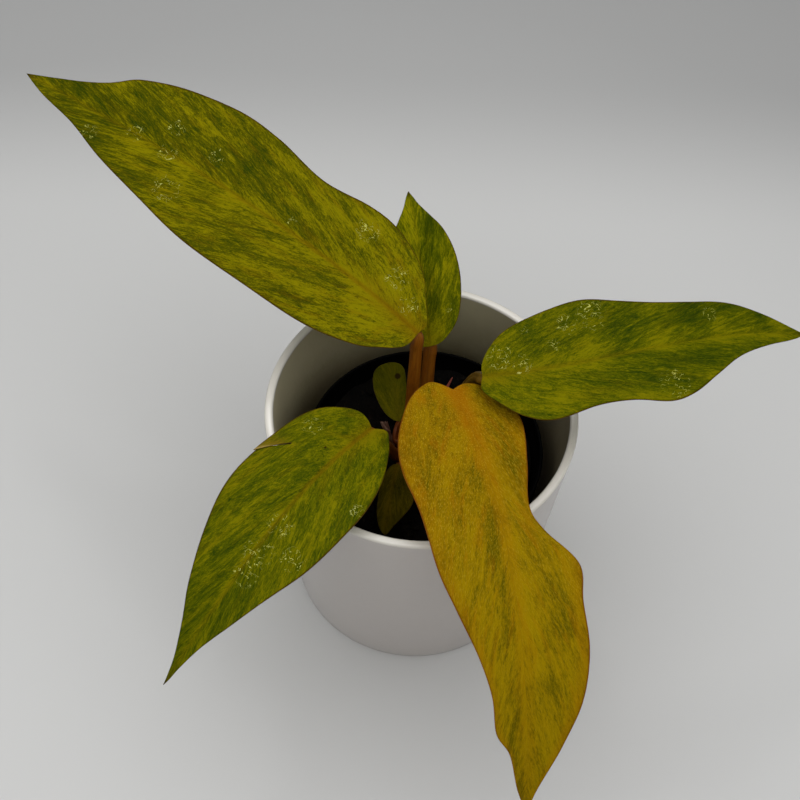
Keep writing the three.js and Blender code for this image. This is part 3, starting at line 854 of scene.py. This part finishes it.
def midrib_colour(f, colour, rib, k, out, streak, hair, warm, band):
    """A warm glow near the stalk, and a broken line that gets fainter towards the tip."""
    glow = (1 - k.between(0.0, 0.4)) * (1 - out.between(0.5, 8.0)) * warm
    colour = f.blend(glow * (streak * 0.8 + 0.3), colour, rib)
    line = (1 - out.between(0.25 * band, band)) * (1 - k.between(0.1, 0.9) * 0.75)
    return f.blend(line * (hair * 1.8 - 0.25) * 0.65, colour, rib)


DRY_TIP, SPOT_BROWN = (0.035, 0.02, 0.004), (0.022, 0.010, 0.003)
TORN_EDGE, TORN_FLAP = (0.22, 0.13, 0.01), (0.42, 0.30, 0.08)


def leaf_marks(f, colour, margin, k, s, spotted, torn):
    """The thin coloured edge, the dry tip, brown spots and the tear."""
    colour = f.blend(s.between(0.974, 0.992) * 0.7, colour, margin)
    colour = f.blend(k.between(0.965, 0.998) * 0.8, colour, DRY_TIP)
    colour = f.blend(spotted.between(0.3, 0.6) * 0.9, colour, SPOT_BROWN)
    colour = f.blend(torn.between(0.0, 0.25) * 0.5, colour, TORN_EDGE)
    return f.blend(torn.between(0.25, 0.7) * 0.8, colour, TORN_FLAP)


print("a torn flap is", [round(flap / edge, 1) for flap, edge in zip(TORN_FLAP, TORN_EDGE)], "times its edge")


# %% Mottled leaf
YELLOW_DOT, PAINTED_GLINT_COLOUR = (0.55, 0.38, 0.03), (0.66, 0.66, 0.12)


def leaf_finish(name, greens, rib, margin, seed, paler=0.0, warm=0.5, contrast=1.0, band=1.6, dots=0.1,
                late=None, blush=0.0, lee=0.04):
    """A leaf's upper face. greens are its dark, middle and light colour.

    late is the colour that an amber leaf's tip turns to, blush how orange its edge is, lee how dark the
    painted shade in a band beside its midrib is, band the half width of the midrib's line in mm, and warm how
    far its glow shows.
    """
    dark, middle, light = greens
    f = Finish(name)
    veins, _, _, side = f.attribute("veins")
    _, k, s, out = f.attribute("blade")
    _, puckered, spotted, torn = f.attribute("marks")
    _, shaded, bright, _ = f.attribute("tones")
    shift = (seed * 37.0, seed * 11.0, seed * 5.0)
    veins = f.node("ShaderNodeVectorMath", {"operation": "ADD"}, [veins, shift])
    drift = f.noise(f.stretched(veins, (0.045, 0.08, 1)), detail=3)
    streak = f.noise(f.stretched(veins, (0.19, 0.25, 1)), detail=6, rough=0.68, warp=1.5)
    hair = f.noise(f.stretched(veins, (0.75, 0.95, 1)), detail=4, rough=0.7, warp=1.3)
    grain = f.noise(f.stretched(veins, (2.4, 2.4, 1)), detail=3, rough=0.75)

    tone = (streak * 0.75 + drift * 0.5 + hair * 0.6 + grain * 0.55 - 1.2) * (1.15 * contrast) - k * 0.08
    # Shaded and bright places: partly darker and paler mottling, partly painted shade and painted light.
    tone = tone + bright * 0.12 - shaded * 0.12 + 0.05
    if late:
        tone = tone + (1 - k.between(0.0, 0.4)) * 0.04
    # Painted shade: a darker band beside the midrib on the right half, as if the raised midrib shaded it.
    beside = out.between(0.6, 2.5) * (1 - out.between(4.0, 10.0))
    right_half = 1 - side.between(-1, 1)
    tone = tone - beside * right_half * k.between(0.25, 0.4) * lee
    tone = tone + (1 - out.between(0.5, 7.0)) * 0.06 + paler
    deep = (0 - tone).between(-0.03, 0.23)
    colour = f.blend(tone.between(-0.03, 0.23), middle, light)
    colour = f.blend(deep, colour, dark)
    if late:
        colour = f.blend(k.between(0.2, 0.75) * 0.5, colour, f.blend(deep, late, dark))

    colour = f.blend(s.between(0.72, 1.0) * blush, colour, rib)
    tint = f.noise(f.stretched(veins, (0.11, 0.16, 1)), detail=4).between(0.48, 0.7)
    colour = f.blend(tint * hair * (1 - k * 0.85) * warm, colour, rib)
    colour = midrib_colour(f, colour, rib, k, out, streak, hair, warm, band)
    dot = f.noise(f.stretched(veins, (2.0, 1.8, 1)), detail=1).between(0.56, 0.68)
    colour = f.blend(dot * (1 - k.between(0.35, 0.75) * 0.7) * dots, colour, YELLOW_DOT)
    colour = leaf_marks(f, colour, margin, k, s, spotted, torn)
    gleam = waxy_gleam(f, puckered)
    height = gleam * 0.6 + streak * 0.8 + hair * 0.4 + grain * 0.15
    # The gleaming ridges are painted pale yellow in the base colour, a painted highlight, besides their coat.
    return f.finish(
        Base_Color=f.blend(gleam * 0.8, colour, PAINTED_GLINT_COLOUR), Roughness=0.62 + hair * 0.08,
        Normal=f.bump(height, 0.0010, 0.6), Coat_Weight=gleam * 0.35, Coat_Roughness=0.2,
        Specular_IOR_Level=0.01,
    )


# %% Underside and edge
def leaf_underside(name, ground, rib):
    f = Finish(name)
    veins, *_ = f.attribute("veins")
    *_, out = f.attribute("blade")
    line = f.noise(f.stretched(veins, (0.5, 0.03, 1)), detail=4)
    colour = f.blend(line.between(0.35, 0.7), ground, tuple(0.6 * c for c in ground))
    colour = f.blend(1 - out.between(0.6, 1.8), colour, rib)
    return f.finish(Base_Color=colour, Roughness=line * 0.1 + 0.6, Normal=f.bump(line, 0.0008, 0.4),
                    Specular_IOR_Level=0.08)


def leaf_margin(name, colour):
    f = Finish(name)
    worn = f.noise(f.place(), scale=200, detail=2)
    paler = tuple(1.6 * c for c in colour)
    return f.finish(Base_Color=f.blend(worn, colour, paler), Roughness=worn * 0.1 + 0.55,
                    Specular_IOR_Level=0.08)


# %% Colours of the undersides and edges
OCHRE, BROWN = (0.19, 0.085, 0.0012), (0.08, 0.035, 0.004)
green_under = leaf_underside("green_underside", (0.15, 0.18, 0.018), (0.30, 0.16, 0.015))
amber_under = leaf_underside("amber_underside", (0.32, 0.19, 0.018), (0.36, 0.14, 0.015))
edge_skin = leaf_margin("leaf_margin_skin", BROWN)
red_edge = leaf_margin("amber_leaf_margin_skin", (0.22, 0.06, 0.01))

# %% Colours of the seven leaves
GREENS = (0.024, 0.045, 0.0015), (0.082, 0.096, 0.0009), (0.20, 0.182, 0.0014)
SUNNY_GREENS = (0.024, 0.045, 0.0015), (0.084, 0.084, 0.0008), (0.24, 0.208, 0.0014)
# Leaf 2's greens are a paler copy of the others: painted light, making up for the little light it gets.
PAINTED_LIGHT_GREENS = (0.036, 0.055, 0.0008), (0.10, 0.115, 0.001), (0.28, 0.25, 0.002)
AMBERS = (0.115, 0.088, 0.0008), (0.205, 0.115, 0.0008), (0.305, 0.185, 0.0010)
DULL_GREENS = (0.036, 0.042, 0.0015), (0.085, 0.080, 0.002), (0.15, 0.128, 0.003)
SHADE_GREENS = (0.028, 0.026, 0.0015), (0.062, 0.05, 0.002), (0.12, 0.085, 0.003)

FINISHES = {
    1: leaf_finish("mottled_leaf_1", SUNNY_GREENS, OCHRE, BROWN, 1, paler=0.03, warm=0.6),
    2: leaf_finish("mottled_leaf_2", PAINTED_LIGHT_GREENS, (0.18, 0.13, 0.0015), BROWN, 2, paler=0.01),
    3: leaf_finish("mottled_leaf_3", GREENS, (0.17, 0.12, 0.0015), BROWN, 3),
    4: leaf_finish("amber_leaf", AMBERS, (0.33, 0.115, 0.0008), (0.22, 0.06, 0.006), 4, paler=0.02, warm=1.1,
                   contrast=1.15, band=4.5, dots=0.55, late=(0.33, 0.235, 0.0012), blush=0.28, lee=0.16),
    5: leaf_finish("mottled_leaf_5", GREENS, OCHRE, BROWN, 5, warm=0.35),
    6: leaf_finish("dull_green_leaf", DULL_GREENS, (0.13, 0.10, 0.004), (0.12, 0.09, 0.015), 6, warm=0.3,
                   contrast=0.7),
    7: leaf_finish("dark_olive_leaf", SHADE_GREENS, (0.13, 0.075, 0.002), (0.09, 0.06, 0.015), 7, warm=0.4,
                   contrast=0.8),
}

# %% Make the blades
BIG_BLADE = dict(half_columns=26, crinkle=1.0, rib_depth=1.0)
SMALL_BLADE = dict(half_columns=14, crinkle=0.35, rib_depth=0.5)
SLOTS = {4: "amber_leaf", 6: "dark_leaf", 7: "dark_leaf"}


def is_big(leaf):
    return leaf["stalk_radius"][0] > 2


for number, leaf in LEAVES.items():
    under, edge = (amber_under, red_edge) if number == 4 else (green_under, edge_skin)
    row_step, size = (1.1, BIG_BLADE) if is_big(leaf) else (0.5, SMALL_BLADE)  # mm from row to row
    blade(f"leaf_{number}_blade", leaf, [FINISHES[number], under, edge], f"leaf_blade_{number}",
          SLOTS.get(number, "green_leaf"), rows=round(rib_length(leaf) / row_step), seed=30 + 7 * number, **size)

# %% [markdown]
# ## Stalks
# A philodendron's stalk is a grooved rod. Its foot widens into a sheath that clasps the stem, and its
# top bends at a small knuckle and runs on as the leaf's midrib. Sweeping one grooved section along a
# path does all of it: the path goes on under the blade, getting thinner, so the two read as one growth.

# %% Sweep a section along a path
def swept(path, radius, section, sides, reference):
    """Points, faces and places along a closed rod. radius(t) is its size and section(angle, t) its shape."""
    path = np.array(path, float)
    tangent = unit(np.gradient(path, axis=0))
    normal = np.array(reference, float)
    angle = np.linspace(0, 2 * math.pi, sides, endpoint=False)
    points, places = [], []
    run = np.r_[0, np.cumsum(np.linalg.norm(np.diff(path, axis=0), axis=1))]
    for i, (p, t) in enumerate(zip(path, tangent)):
        normal = unit(normal - t * normal.dot(t))
        across = np.cross(t, normal)
        share = i / (len(path) - 1)
        r = radius(share) * section(angle, share)
        points.append(p + r[:, None] * (np.cos(angle)[:, None] * normal + np.sin(angle)[:, None] * across))
        places.append(np.stack([np.full(sides, run[i]), 3 * np.cos(angle), 3 * np.sin(angle)], -1))
    points = np.vstack([*points, path[:1], path[-1:]])
    places = np.vstack([*places, [[0, 0, 0]], [[run[-1], 0, 0]]])
    return points * MM, tube_faces(len(path), sides), places


rod = swept([(0, 0, 0), (0, 0, 1), (0, 0, 2)], lambda t: 1, lambda angle, t: 1 + 0 * angle, 8, (1, 0, 0))
print("a rod of 3 rings has", len(rod[1]), "faces")


# %% Stalk skin
def stalk_finish(name, foot, top, streaks, reach=45.0):
    f = Finish(name)
    place, run, *_ = f.attribute("along")
    fibre = f.noise(f.stretched(place, (0.05, 1.1, 1.1)), detail=4, rough=0.6)
    patch = f.noise(f.stretched(place, (0.14, 0.3, 0.3)), detail=3)
    colour = f.blend(run.between(4.0, reach), foot, top)
    colour = f.blend(fibre.between(0.42, 0.68) * 0.7, colour, streaks)
    colour = f.blend(patch.between(0.5, 0.72) * 0.35, colour, tuple(0.55 * c for c in foot))
    return f.finish(
        Base_Color=colour, Roughness=fibre * 0.15 + 0.34, Normal=f.bump(fibre, 0.0009, 0.45),
        Coat_Weight=0.06, Coat_Roughness=0.25, Specular_IOR_Level=0.15,
    )


orange_stalk = stalk_finish("orange_stalk", (0.13, 0.030, 0.003), (0.21, 0.064, 0.003), (0.27, 0.10, 0.006))
red_stalk = stalk_finish("red_brown_stalk", (0.13, 0.024, 0.004), (0.20, 0.07, 0.005), (0.22, 0.07, 0.01), 30)
brown_stalk = stalk_finish("olive_brown_stalk", (0.1, 0.04, 0.003), (0.1, 0.055, 0.004), (0.14, 0.07, 0.006),
                           30)
STALK_SKINS = {1: orange_stalk, 2: orange_stalk, 3: brown_stalk, 4: orange_stalk}


# %% Path of a stalk
STEM_AXIS = np.array([-3.0, -1.0, 0.0])
TAIL = 0.16  # station of the blade at which the stalk has thinned out under it


def under_midrib(leaf, station):
    """A place just under the blade's midrib, closer to it further on."""
    drop = -0.4 - 1.2 * leaf["stalk_radius"][1] * (1 - station / (TAIL + 0.01)) ** 0.6
    return bend(leaf, np.array([station]), np.array([0.0]), np.array([drop]))[0]


def stalk_path(leaf, to_axis):
    """Points from inside the stem, up the stalk and on under the blade."""
    foot = np.array(leaf["stalk"][0], float)
    rod = bezier([*leaf["stalk"], under_midrib(leaf, 0)], np.linspace(0.12, 1, 9))
    tail = [under_midrib(leaf, station) for station in (0.03, 0.09, TAIL)]
    lowest = foot + to_axis * (2.2 if is_big(leaf) else 1.0) - [0, 0, 3.2]
    return smooth_line([lowest, foot + to_axis * 0.8, *rod, *tail], 110 if is_big(leaf) else 60)


print("stalk 1 runs over", round(path_length(stalk_path(LEAVES[1], np.array([0.0, -1.0, 0.0])))), "mm")


# %% Stalks
def stalk(number, leaf, material):
    to_axis = unit((STEM_AXIS - np.array(leaf["stalk"][0], float)) * [1, 1, 0])
    r0, r1 = leaf["stalk_radius"]
    path = stalk_path(leaf, to_axis)
    tail_share = 1 - TAIL * rib_length(leaf) / path_length(path)

    def radius(t):
        sheath = 1 + 0.30 * max(0, 1 - t / 0.22) ** 1.5
        knuckle = 1 + 0.10 * math.exp(-(((t - tail_share + 0.04) / 0.03) ** 2))
        body = r0 + (r1 - r0) * min(t / tail_share, 1)
        thin = np.clip((t - tail_share) / (1 - tail_share), 0, 1)
        return body * sheath * knuckle * (1 - thin) ** 0.6 + 0.2 * thin

    def section(angle, t):
        bent = np.minimum(angle, 2 * math.pi - angle)
        groove = 0.2 * np.exp(-((bent / 0.42) ** 2)) - 0.06 * np.exp(-(((bent - 0.75) / 0.3) ** 2))
        ribs = 0.012 * np.cos(9 * angle + 4 * t)
        uneven = 0.02 * ripple(60 + number, 2 * np.cos(angle), 9 * t)
        return 1.06 - groove + 0.1 * np.sin(angle) ** 2 + ribs + uneven

    points, faces, places = swept(path, radius, section, 32 if is_big(leaf) else 20, to_axis)
    add_piece(f"leaf_{number}_stalk", points, faces, [material], f"leaf_stalk_{number}",
              {"along": places})


for number, leaf in LEAVES.items():
    stalk(number, leaf, STALK_SKINS.get(number, red_stalk))

# %% [markdown]
# ## Dry sheath and new spike
# Each new leaf comes out of a sheath. The old one has dried to a thin pinkish paper with a torn tip; the
# new one is still a closed red point, rolled like a cone of paper, with the overlap showing as a seam.
# The paper is a curled grid with an inner and an outer skin, whose columns stop at random heights: a plane
# with a torn outline in its transparency would show no thickness. The spike is swept like a stalk, with a
# section that steps outwards at the seam, and the step turns about the spike on its way up.

# %% Papery sheath
def paper_sheath():
    f = Finish("dry_pink_paper")
    place, run, *_ = f.attribute("along")
    fibre = f.noise(f.stretched(place, (0.08, 1.6, 1.6)), detail=5, rough=0.65)
    blot = f.noise(f.stretched(place, (0.25, 0.4, 0.4)), detail=3)
    colour = f.blend(fibre.between(0.35, 0.7), (0.14, 0.06, 0.035), (0.32, 0.19, 0.13))
    colour = f.blend((1 - run.between(2.0, 16.0)) * 0.8, colour, (0.16, 0.035, 0.012))
    colour = f.blend(blot.between(0.55, 0.7) * 0.5, colour, (0.2, 0.08, 0.04))
    return f.finish(Base_Color=colour, Roughness=fibre * 0.2 + 0.55, Normal=f.bump(fibre, 0.0008, 0.7))


SHEATH_PATH = [(-10, -1, 91.5), (-11.5, -1.2, 96), (-13, -1.5, 103), (-14.6, -2, 111), (-16.4, -1.4, 118.6)]
SHEATH_OUTWARD = np.array([-1.0, -0.25, 0.0])  # the way its rounded back faces
SHEATH_COLUMNS, SHEATH_ROWS = 21, 40


def sheath_shell(path, torn_edge, inset):
    """Points of one side of the paper, which hugs the stem with its two edges and frays at its top."""
    tangent = unit(np.gradient(path, axis=0))
    last = len(path) - 1
    points, places = [], []
    for side, end in zip(np.linspace(-1, 1, SHEATH_COLUMNS), torn_edge):
        for share in np.linspace(0, 1, SHEATH_ROWS) * end:
            p = np.array([np.interp(share * last, range(last + 1), path[:, c]) for c in range(3)])
            t = tangent[int(share * last)]
            out = unit(SHEATH_OUTWARD - t * np.dot(SHEATH_OUTWARD, t))
            across = np.cross(t, out)
            r = 3.2 - 0.4 * share - inset + 0.25 * math.sin(30 * share + 3 * side) * share
            a = side * 1.25 * (1 + 0.25 * share)
            points.append(p + out * (r * math.cos(a) - 1.9) + across * r * math.sin(a))
            places.append((share * 26, 3 * math.cos(a), 3 * math.sin(a)))
    return points, places


def shell_faces(columns, rows):
    """Faces of an outer and an inner grid, and of the four strips that join their edges."""
    at = lambda shell, j, i: (shell * columns + j) * rows + i
    faces = []
    for j in range(columns - 1):
        for i in range(rows - 1):
            faces.append((at(0, j, i), at(0, j + 1, i), at(0, j + 1, i + 1), at(0, j, i + 1)))
            faces.append((at(1, j, i), at(1, j, i + 1), at(1, j + 1, i + 1), at(1, j + 1, i)))
        top = rows - 1
        faces.append((at(0, j, 0), at(1, j, 0), at(1, j + 1, 0), at(0, j + 1, 0)))
        faces.append((at(0, j, top), at(0, j + 1, top), at(1, j + 1, top), at(1, j, top)))
    for i in range(rows - 1):
        end = columns - 1
        faces.append((at(0, 0, i), at(0, 0, i + 1), at(1, 0, i + 1), at(1, 0, i)))
        faces.append((at(0, end, i), at(1, end, i), at(1, end, i + 1), at(0, end, i + 1)))
    return faces


print("the sheath's skins have", len(shell_faces(SHEATH_COLUMNS, SHEATH_ROWS)), "faces")


# %% Torn dry sheath
def dry_sheath():
    path = smooth_line(SHEATH_PATH, 60)
    rng = np.random.default_rng(8)
    turn = np.linspace(-1, 1, SHEATH_COLUMNS)
    torn_edge = 1 - 0.16 * np.abs(turn - 0.25) ** 0.8 - rng.uniform(0, 0.07, SHEATH_COLUMNS)
    shells = [sheath_shell(path, torn_edge, inset) for inset in (0.0, 0.22)]
    points = np.array(shells[0][0] + shells[1][0]) * MM
    places = np.array(shells[0][1] + shells[1][1])
    add_piece("torn_dry_sheath", points, shell_faces(SHEATH_COLUMNS, SHEATH_ROWS), [paper_sheath()],
              "dry_sheath", {"along": places})


dry_sheath()

# %% Closed spike
def new_spike():
    leaning = [(4.5, 2, 94.5), (5.6, 8, 106), (8.2, 13, 114), (12.6, 19, 121.5)]
    path = smooth_line([(3.4, 1.4, 91), *bezier(leaning, np.linspace(0, 1, 8))], 90)
    radius = lambda t: 1.9 * (1 - t) ** 0.7 + 0.18
    rolled = lambda angle, t: 1 + 0.16 * ((angle / (2 * math.pi) + 1.4 * t) % 1.0) - 0.05
    points, faces, places = swept(path, radius, rolled, 40, (0, -1, 0))
    # Its foot is far darker than its tip: partly its own maroon and partly painted shade low among the stalks.
    red = stalk_finish("red_spike_skin", (0.07, 0.006, 0.006), (0.24, 0.05, 0.035), (0.30, 0.12, 0.08), 36.0)
    add_piece("rolled_new_leaf", points, faces, [red], "new_leaf_spike", {"along": places})


new_spike()

# %% [markdown]
# ## Studio
# A matt pale grey table and two soft lights. The large one hangs straight above, a little to the left and
# to the front, and shines down in a cone, so the pot's sides and inside fall into shade. The small one lights
# the gleam in the waxy skin, whose ridges are also painted pale. The table's colour is painted darker towards
# the back and away from the middle: painted shade, like the falling light on a paper sweep where it curves
# up. Far out it glows faintly, so that it meets the pale backdrop softly from every side. An even backdrop
# would be simpler, but it would wash out the leaves: this one is bright near the horizon and dim overhead.

# %% Table
def table_finish():
    f = Finish("pale_grey_table")
    place = f.place()
    cloud = f.noise(place, scale=3, detail=3) * 0.1
    _, back, _ = f.axes(place)
    from_middle = f.node("ShaderNodeVectorMath", {"operation": "LENGTH"}, [place], out="Value")
    # Painted shade: darker towards the back and away from the middle, with a faint cloudy tone.
    painted_falloff_shade_and_cloud = cloud + 0.75 * back.between(0.20, 0.33) + 0.3 * from_middle.between(0.2, 0.5)
    glow = f.blend(from_middle.between(0.5, 1.6), (0, 0, 0), (1, 1, 1))
    return f.finish(Base_Color=f.blend(painted_falloff_shade_and_cloud, (0.65, 0.65, 0.64), (0.44, 0.44, 0.435)), Roughness=0.85,
                    Specular_IOR_Level=0.1, Emission_Color=glow, Emission_Strength=0.24)


TABLE_REACH = 4.0  # metres each way

corners = [(x * TABLE_REACH, y * TABLE_REACH, 0) for x, y in ((-1, -1), (1, -1), (1, 1), (-1, 1))]
table_mesh = bpy.data.meshes.new("table")
table_mesh.from_pydata(corners, [], [(0, 1, 2, 3)])
table_mesh.materials.append(table_finish())
table = bpy.data.objects.new("table", table_mesh)
table.location.z = cad_box[0][2]
bpy.context.scene.collection.objects.link(table)
table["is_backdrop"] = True
print("the table is", 2 * TABLE_REACH, "m across")

# %% Lights
def soft_light(name, at, aim, size, watts, spread=180):
    """A round light of a size in metres, which shines in a cone of spread degrees."""
    data = bpy.data.lights.new(name, "AREA")
    data.shape, data.size, data.energy = "DISK", size, watts
    data.spread = math.radians(spread)
    light = bpy.data.objects.new(name, data)
    light.location = at
    light.rotation_euler = (Vector(aim) - Vector(at)).to_track_quat("-Z", "Y").to_euler()
    bpy.context.scene.collection.objects.link(light)
    print(name, watts, "W")


soft_light("overhead_softbox", (-0.12, -0.20, 0.80), (-0.12, -0.20, 0.0), 1.9, 8.0, 120)
soft_light("sparkle_light", (-0.10, 0.45, 0.85), (0.0, 0.0, 0.1), 0.10, 0.35)

# %% Backdrop
HORIZON, OVERHEAD = (0.25, 0.252, 0.255), (0.048, 0.049, 0.05)

world = bpy.data.worlds.new("studio")
world.use_nodes = True
backdrop = Nodes(world.node_tree)
_, _, up = backdrop.axes(backdrop.node("ShaderNodeTexCoord", out="Generated"))
sky = backdrop.blend(up.between(0.25, 0.6), HORIZON, OVERHEAD)
world.node_tree.links.new(sky.socket, world.node_tree.nodes["Background"].inputs["Color"])
bpy.context.scene.world = world
print("backdrop: horizon", HORIZON, "overhead", OVERHEAD)

# %% [markdown]
# ## Size
# The visual model must fill the same box as the imported one. The boxes of the visual model and of the
# imported one are written down side by side.

# %% Both boxes side by side, and finish
visual_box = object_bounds()
as_lists = lambda box: [[round(float(v), 5) for v in corner] for corner in box]
{"cad": as_lists(cad_box), "visual": as_lists(visual_box)}
print("packed box", as_lists(cad_box), "visual box", as_lists(visual_box))
